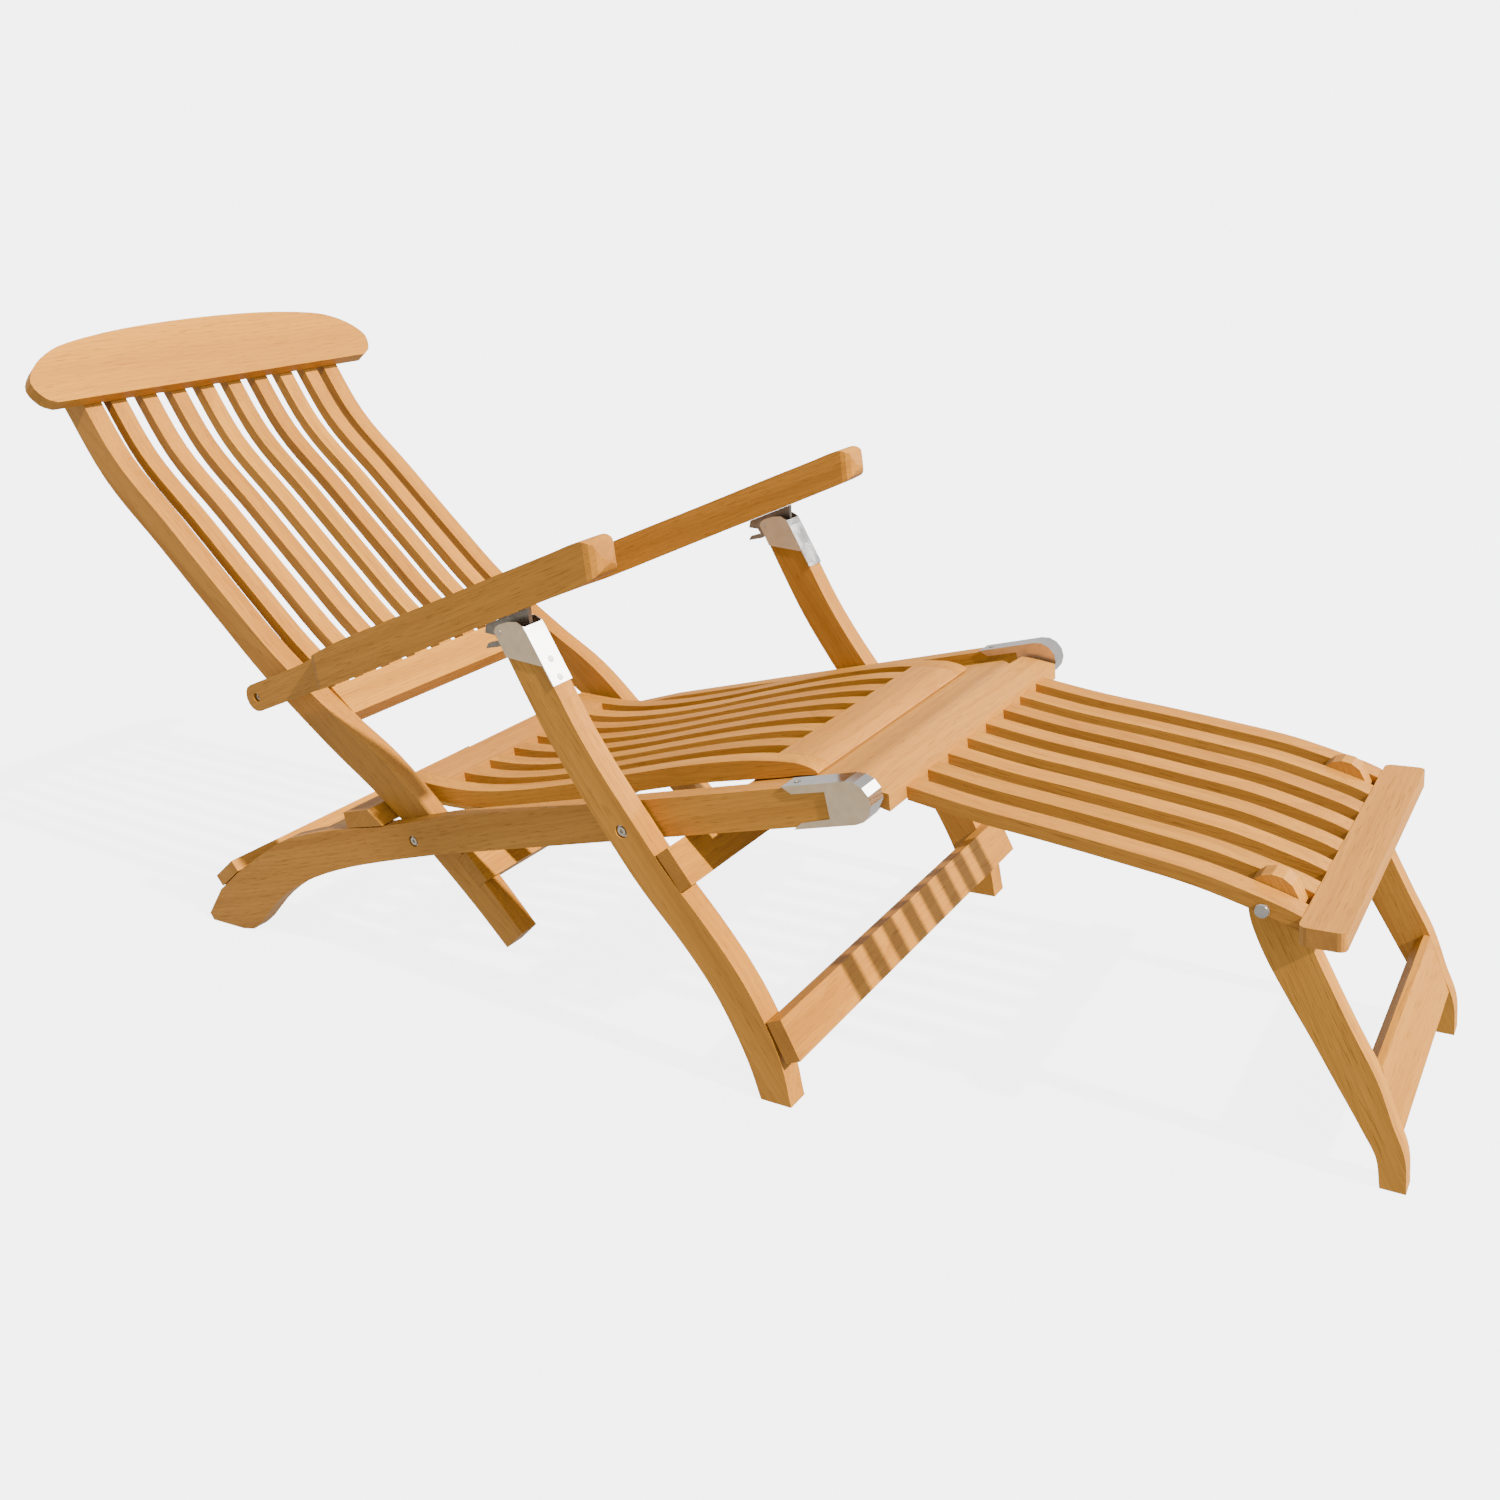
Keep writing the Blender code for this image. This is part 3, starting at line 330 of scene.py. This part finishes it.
def teak(name, along, seed, pink):
    """Oiled teak whose grain runs along a direction; the seed sets the board's own figure and tone."""
    draw = random.Random(seed)
    tree = Tree(name)
    light, mid, dark = (PINK_LIGHT, PINK_MID, PINK_DARK) if pink else (TEAK_LIGHT, TEAK_MID, TEAK_DARK)
    coordinates = tree.add("ShaderNodeTexCoord")
    turn = along.to_track_quat("X", "Z").inverted().to_euler()
    shift = tuple(draw.uniform(-FIGURE_SHIFT, FIGURE_SHIFT) for _ in range(3))
    grain = tree.place(coordinates.outputs["Object"], Rotation=turn)
    grain = tree.place(grain, Location=shift)

    late = growth_rings(tree, grain, shift, draw)
    streak = tree.noise(tree.place(grain, Scale=STREAK_SCALE), 1.0, 3.0, 0.55)
    broad = tree.noise(tree.place(grain, Scale=BROAD_SCALE), 1.0, 2.0, 0.5)
    fibre = tree.noise(tree.place(grain, Scale=FIBRE_SCALE), 1.0, 2.0, 0.6)
    pore = tree.span(tree.noise(tree.place(grain, Scale=PORE_SCALE), 1.0, 0.0, 0.5), 0.64, 0.74)
    end = end_grain(tree, coordinates.outputs["Normal"], along)

    tone = tree.mix(tree.span(broad, 0.30, 0.72), light, mid)
    tone = tree.mix(tree.times(tree.span(streak, 0.42, 0.78), STREAK_DEPTH), tone, dark)
    tone = tree.mix(tree.times(late, RING_DEPTH), tone, dark)
    tone = tree.mix(tree.times(tree.span(fibre, 0.35, 0.75), FIBRE_DEPTH), tone, dark)
    tone = tree.mix(tree.times(pore, PORE_DEPTH), tone, tuple(c * PORE_SHADE for c in dark))
    tone = tree.mix(tree.times(end, END_DEPTH), tone, dark)
    tone = tree.mix(1.0, tone, board_tint(draw), "MULTIPLY")
    tree.put(tree.shader.inputs["Base Color"], tone)

    rough = tree.add_up(tree.span(streak, 0.3, 0.8, *TEAK_ROUGHNESS), tree.times(pore, PORE_ROUGHNESS))
    tree.put(tree.shader.inputs["Roughness"], rough)
    tree.shader.inputs["Specular IOR Level"].default_value = TEAK_SPECULAR

    relief = tree.add_up(tree.times(fibre, FIBRE_RELIEF), tree.times(late, RING_RELIEF))
    tree.bump(tree.math("SUBTRACT", relief, tree.times(pore, PORE_RELIEF)), *TEAK_RELIEF)
    return tree.material


# ---------------------------------------------------------------- metal

SATIN_LIGHT, SATIN_DARK = (0.660, 0.520, 0.350), (0.560, 0.440, 0.290)
POLISH_LIGHT, POLISH_DARK = (0.64, 0.63, 0.62), (0.54, 0.53, 0.51)
SATIN_ROUGHNESS, POLISH_ROUGHNESS = (0.34, 0.46), (0.06, 0.15)
BRUSH_SCALE = (60.0, 300.0, 1400.0)
SHEET_CLOUD, SHEET_HAZE, STEEL_CLOUD, STEEL_FINE = 70.0, 26.0, 90.0, 900.0  # patches per metre
BRUSH_RELIEF, FINE_RELIEF = (0.10, 0.0003), (0.08, 0.0002)  # strength, and depth in metres
CLOUD_SHADE = 0.80


def sheet_fitting():
    """Bent sheet: polished on the strap that wraps the wood, satin on the flat cheeks beside it."""
    tree = Tree("sheet_fitting")
    coordinates = tree.add("ShaderNodeTexCoord")
    where = coordinates.outputs["Object"]
    normal = tree.add("ShaderNodeSeparateXYZ", {"Vector": coordinates.outputs["Normal"]}).outputs["Y"]
    cheek = tree.span(tree.math("ABSOLUTE", normal), 0.80, 0.95)
    cloud = tree.noise(where, SHEET_CLOUD, 3.0, 0.6)
    haze = tree.noise(where, SHEET_HAZE, 3.0, 0.6)
    brushed = tree.noise(tree.place(where, Scale=BRUSH_SCALE), 1.0, 2.0, 0.6)
    satin = tree.mix(tree.span(cloud, 0.3, 0.7), SATIN_LIGHT, SATIN_DARK)
    bright = tree.mix(tree.span(haze, 0.35, 0.7), POLISH_LIGHT, POLISH_DARK)
    tree.put(tree.shader.inputs["Base Color"], tree.mix(cheek, bright, satin))
    tree.shader.inputs["Metallic"].default_value = 1.0
    polish = tree.span(haze, 0.3, 0.75, *POLISH_ROUGHNESS)
    dull = tree.span(brushed, 0.25, 0.8, *SATIN_ROUGHNESS)
    rough = tree.add("ShaderNodeMix", {"Factor": cheek}, data_type="FLOAT")
    tree.put(rough.inputs[2], polish)
    tree.put(rough.inputs[3], dull)
    tree.put(tree.shader.inputs["Roughness"], rough.outputs[0])
    tree.bump(tree.times(brushed, cheek), *BRUSH_RELIEF)
    return tree.material


def plated_steel(name, colour, low, high):
    """Plated or plain steel for bolts, screws and plates, with cloudy patches of two roughnesses."""
    tree = Tree(name)
    where = tree.add("ShaderNodeTexCoord").outputs["Object"]
    cloud = tree.noise(where, STEEL_CLOUD, 3.0, 0.6)
    fine = tree.noise(where, STEEL_FINE, 2.0, 0.6)
    darker = tuple(c * CLOUD_SHADE for c in colour)
    tree.put(tree.shader.inputs["Base Color"], tree.mix(tree.span(cloud, 0.3, 0.7), colour, darker))
    tree.shader.inputs["Metallic"].default_value = 1.0
    tree.put(tree.shader.inputs["Roughness"], tree.span(cloud, 0.25, 0.8, low, high))
    tree.bump(fine, *FINE_RELIEF)
    return tree.material


# ---------------------------------------------------------------- CAD boards and fittings

# Radius of the rounded edges, by the start of a node's name
ROUNDING = {
    "armrest": 0.0080,
    "crest_rail": 0.0070,
    "back_slat": 0.0022,
    "seat_slat": 0.0028,
    "footrest_slat": 0.0009,
    "front_leg": 0.0032,
    "side_rail": 0.0030,
    "back_stile": 0.0030,
    "leg_upper": 0.0045,
    "leg_lower": 0.0035,
    "footrest_leg": 0.0026,
    "footrest_end": 0.0045,
    "footrest_header": 0.0007,
    "knee_cap": 0.0007,
    "leg_bracket": 0.0007,
    "arm_lug": 0.0006,
    "back_pivot_bolt": 0.0004,
    "leg_pivot_bolt": 0.0004,
    "footrest_pivot_bolt": 0.0004,
}
DEFAULT_ROUNDING = 0.0022
BOARD_STEPS, METAL_STEPS = 4, 2
FLAT_ANGLE, EDGE_ANGLE = math.radians(0.3), math.radians(30.0)
FACE_WEIGHT = 50
PINK_BOARDS = ("footrest_header", "footrest_end_board", "seat_front_board", "seat_rear_board")
METAL_WORDS = ("bolt", "cap", "bracket", "lug")
FIRST_SEED = 100


def rounding_of(node):
    for start, width in ROUNDING.items():
        if node.startswith(start):
            return width
    return DEFAULT_ROUNDING


def soften(node, segments):
    """Flat faces joined into whole faces, then rounded edges, then smooth shading."""
    obj = NODES[node]
    obj.data.polygons.foreach_set("use_smooth", [True] * len(obj.data.polygons))
    planar = obj.modifiers.new("whole_faces", "DECIMATE")
    planar.decimate_type = "DISSOLVE"
    planar.angle_limit = FLAT_ANGLE
    bevel = obj.modifiers.new("rounded_edges", "BEVEL")
    bevel.width = rounding_of(node)
    bevel.segments = segments
    bevel.limit_method = "ANGLE"
    bevel.angle_limit = EDGE_ANGLE
    bevel.use_clamp_overlap = True
    bevel.harden_normals = False
    normals = obj.modifiers.new("even_shading", "WEIGHTED_NORMAL")
    normals.weight = FACE_WEIGHT
    normals.keep_sharp = False


def set_material(node, material):
    materials = NODES[node].data.materials
    materials.clear()
    materials.append(material)


def finish_boards():
    wood = [node for node in sorted(NODES) if not any(word in node for word in METAL_WORDS)]
    for index, node in enumerate(wood):
        set_material(node, teak(f"teak_{node}", long_axis(node), FIRST_SEED + index, node in PINK_BOARDS))
        soften(node, BOARD_STEPS)


def finish_fittings(metals):
    for node in NODES:
        if "cap" in node or "bracket" in node:
            metal = "sheet"
        elif "lug" in node:
            # the lugs take a plate darkened as painted shade, for the shade they sit in under the armrest
            metal = "dark"
        elif "bolt" in node:
            metal = "bright" if "footrest" in node else "steel"
        else:
            continue
        set_material(node, metals[metal])
        soften(node, METAL_STEPS)


# ---------------------------------------------------------------- bolt heads, screws and rivets

TURN_SIDES = 48
SHARP_ANGLE = math.radians(35.0)
SEAT_GAP = 0.0001  # a head stands this far off the face behind it
FRAME_HEAD = (0.0060, 0.0022, 0.0029)  # radius, height and socket radius
ARM_HEAD = (0.0056, 0.0042, 0.0027)
BRACKET_SCREW_RADIUS, CAP_SCREW_RADIUS, SCREW_PROUD = 0.0042, 0.0044, 0.0005
SCREW_BURIED, CROSS_DEPTH, CROSS_PIT = 0.0004, 0.0006, 0.0008
BRACKET_SCREW_PARTS = (0.10, 0.38)  # heights of the screws as parts of the bracket's height
CAP_SCREWS = (("top", 0.3445, -1), ("bottom", 0.3560, 1))  # label, x, and the screw's way along z
RIVET = (0.0030, 0.0008, 0.0002)  # radius, rise and rim
BOLT_DOME = (0.0068, 0.0018, 0.0001)
DOME_STEPS = 5

# Where the lines that look for a face start, outside the chair's parts
ARM_LINE_Y, BRACKET_LINE_X, CAP_LINE_Z = 0.5, 0.2, 1.0


def ring_radius(shape, radius, angle):
    """Radius of a ring at an angle: round, hexagon, or the cross of a screwdriver recess."""
    if shape == "hexagon":
        flat = math.radians(60.0)
        return radius * math.cos(flat / 2) / math.cos((angle % flat) - flat / 2)
    if shape == "cross":
        return radius * (0.32 + 0.68 * max(0.0, math.cos(4.0 * angle)) ** 1.5)
    return radius


def turned_piece(name, rings, place, outward, host, metal):
    """Closed piece of rings (shape, radius, height) stacked outwards, which rides with its host."""
    bm = bmesh.new()
    loops = []
    for shape, radius, height in rings:
        loop = []
        for k in range(TURN_SIDES):
            angle = 2.0 * math.pi * k / TURN_SIDES
            reach = ring_radius(shape, radius, angle)
            loop.append(bm.verts.new((reach * math.cos(angle), reach * math.sin(angle), height)))
        loops.append(loop)
    for low, high in zip(loops, loops[1:]):
        for k in range(TURN_SIDES):
            after = (k + 1) % TURN_SIDES
            bm.faces.new((low[k], low[after], high[after], high[k]))
    bm.faces.new(list(reversed(loops[0])))
    bm.faces.new(loops[-1])
    bmesh.ops.recalc_face_normals(bm, faces=bm.faces)
    piece = add_mesh(name, bm)
    piece.data.shade_smooth()
    piece.data.set_sharp_from_angle(angle=SHARP_ANGLE)
    piece.data.materials.append(metal)
    piece.location = place
    piece.rotation_euler = Vector(outward).to_track_quat("Z", "Y").to_euler()
    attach(piece, NODE_BODY[host])


def socket_head(radius, height, socket):
    """Rounded cylinder head with a hexagon socket."""
    edge = radius * 0.12
    return [
        ("round", radius, 0.0),
        ("round", radius, height - edge),
        ("round", radius - edge * 0.3, height - edge * 0.3),
        ("round", radius - edge, height),
        ("round", socket * 1.18, height),
        ("hexagon", socket, height - socket * 0.12),
        ("hexagon", socket, height - socket * 0.75),
        ("round", socket * 0.20, height - socket * 0.95),
    ]


def countersunk_head(radius, proud):
    """Flat screw head just proud of the sheet, with a cross recess."""
    return [
        ("round", radius * 0.80, -SCREW_BURIED),
        ("round", radius, proud * 0.4),
        ("round", radius * 0.95, proud),
        ("round", radius * 0.62, proud),
        ("cross", radius * 0.58, proud),
        ("cross", radius * 0.40, proud - CROSS_DEPTH),
        ("round", radius * 0.08, proud - CROSS_PIT),
    ]


def domed_head(radius, rise, base):
    """Low dome above a short straight rim; a small flat is left at its top."""
    rings = [("round", radius, 0.0), ("round", radius, base)]
    for k in range(1, DOME_STEPS + 1):
        angle = math.radians(90.0) * k / (DOME_STEPS + 0.4)
        rings.append(("round", radius * math.cos(angle), base + rise * math.sin(angle)))
    return rings


def surface_point(node, start, direction):
    """Where a line first meets a node's surface, and the surface's direction there."""
    hit, place, normal, _ = NODES[node].ray_cast(Vector(start), Vector(direction))
    if not hit:
        raise RuntimeError(f"no surface of {node} along the line from {tuple(start)}")
    return place, normal


def hinge_point(joint):
    entry = next(j for j in frame["joints"] if j["name"] == joint)
    return entry["pos_m"]


def add_bolt_heads(metals):
    """Socket heads on the two frame pivots and in the armrests' rear recesses."""
    steel = metals["steel"]
    for side, sign in SIDES:
        outward = (0, sign, 0)
        for label, joint in (("back", "back_fold"), ("leg", "leg_fold")):
            host = f"{label}_pivot_bolt_{side}"
            x, _, z = hinge_point(joint)
            low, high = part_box(host)
            face = high[1] if sign > 0 else low[1]
            place = (x, face + sign * SEAT_GAP, z)
            name = f"{label}_bolt_socket_{side}"
            turned_piece(name, socket_head(*FRAME_HEAD), place, outward, host, steel)
        host = f"armrest_{side}"
        x, _, z = hinge_point(f"arm_{side}_fold")
        recess, _ = surface_point(host, (x, sign * ARM_LINE_Y, z), (0, -sign, 0))
        place = (x, recess.y + sign * SEAT_GAP * 2.0, z)
        turned_piece(f"arm_bolt_head_{side}", socket_head(*ARM_HEAD), place, outward, host, steel)


def add_bracket_fixings(metals):
    """Two countersunk screws in each bracket's strap, and the hook pin's riveted ends on its cheeks."""
    for side, sign in SIDES:
        host = f"leg_bracket_{side}"
        low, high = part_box(host)
        middle = (low[1] + high[1]) / 2
        length = high[2] - low[2]
        for index, part in enumerate(BRACKET_SCREW_PARTS):
            start = (BRACKET_LINE_X, middle, low[2] + length * part)
            place, normal = surface_point(host, start, (-1, 0, 0))
            rings = countersunk_head(BRACKET_SCREW_RADIUS, SCREW_PROUD)
            name = f"bracket_screw_{side}_{index + 1}"
            turned_piece(name, rings, place, normal, host, metals["screw"])
        for label, face, turn in (("inner", low[1], -1), ("outer", high[1], 1)):
            place = (HOOK_PIN_X, face, HOOK_PIN_Z)
            name = f"bracket_rivet_{side}_{label}"
            turned_piece(name, domed_head(*RIVET), place, (0, turn, 0), host, metals["steel"])


def add_cap_screws(metals):
    """One screw through each end of the strap that wraps the rail's knee."""
    for side, _ in SIDES:
        host = f"knee_cap_{side}"
        low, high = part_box(host)
        middle = (low[1] + high[1]) / 2
        for label, x, turn in CAP_SCREWS:
            place, normal = surface_point(host, (x, middle, -turn * CAP_LINE_Z), (0, 0, turn))
            name = f"cap_screw_{side}_{label}"
            rings = countersunk_head(CAP_SCREW_RADIUS, SCREW_PROUD)
            turned_piece(name, rings, place, normal, host, metals["screw"])


def add_footrest_domes(metals):
    """Domed faces on the bolts that the footrest's legs turn on."""
    x, _, z = hinge_point("footrest_leg_fold")
    for side, sign in SIDES:
        host = f"footrest_pivot_bolt_{side}"
        low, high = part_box(host)
        face = high[1] if sign > 0 else low[1]
        place = (x, face + sign * SEAT_GAP, z)
        rings = domed_head(*BOLT_DOME)
        name = f"footrest_bolt_dome_{side}"
        turned_piece(name, rings, place, (0, sign, 0), host, metals["screw"])


# Colour of each plated metal, then the roughness of its smoother and its rougher patches
METALS = {
    "sheet": sheet_fitting(),
    "steel": plated_steel("plain_steel", (0.55, 0.50, 0.42), 0.26, 0.40),
    "screw": plated_steel("screw_plate", (0.42, 0.40, 0.37), 0.18, 0.30),
    # the lugs' plate: steel darkened as painted shade, standing in for the shade under the armrest
    "dark": plated_steel("shaded_plate", (0.26, 0.23, 0.19), 0.36, 0.50),
    "bright": plated_steel("bright_plate", (0.86, 0.86, 0.85), 0.08, 0.18),
}

add_camera()
add_sun()
add_card()
add_world()
add_stage()
finish_boards()
finish_fittings(METALS)
add_bolt_heads(METALS)
add_bracket_fixings(METALS)
add_cap_screws(METALS)
add_footrest_domes(METALS)
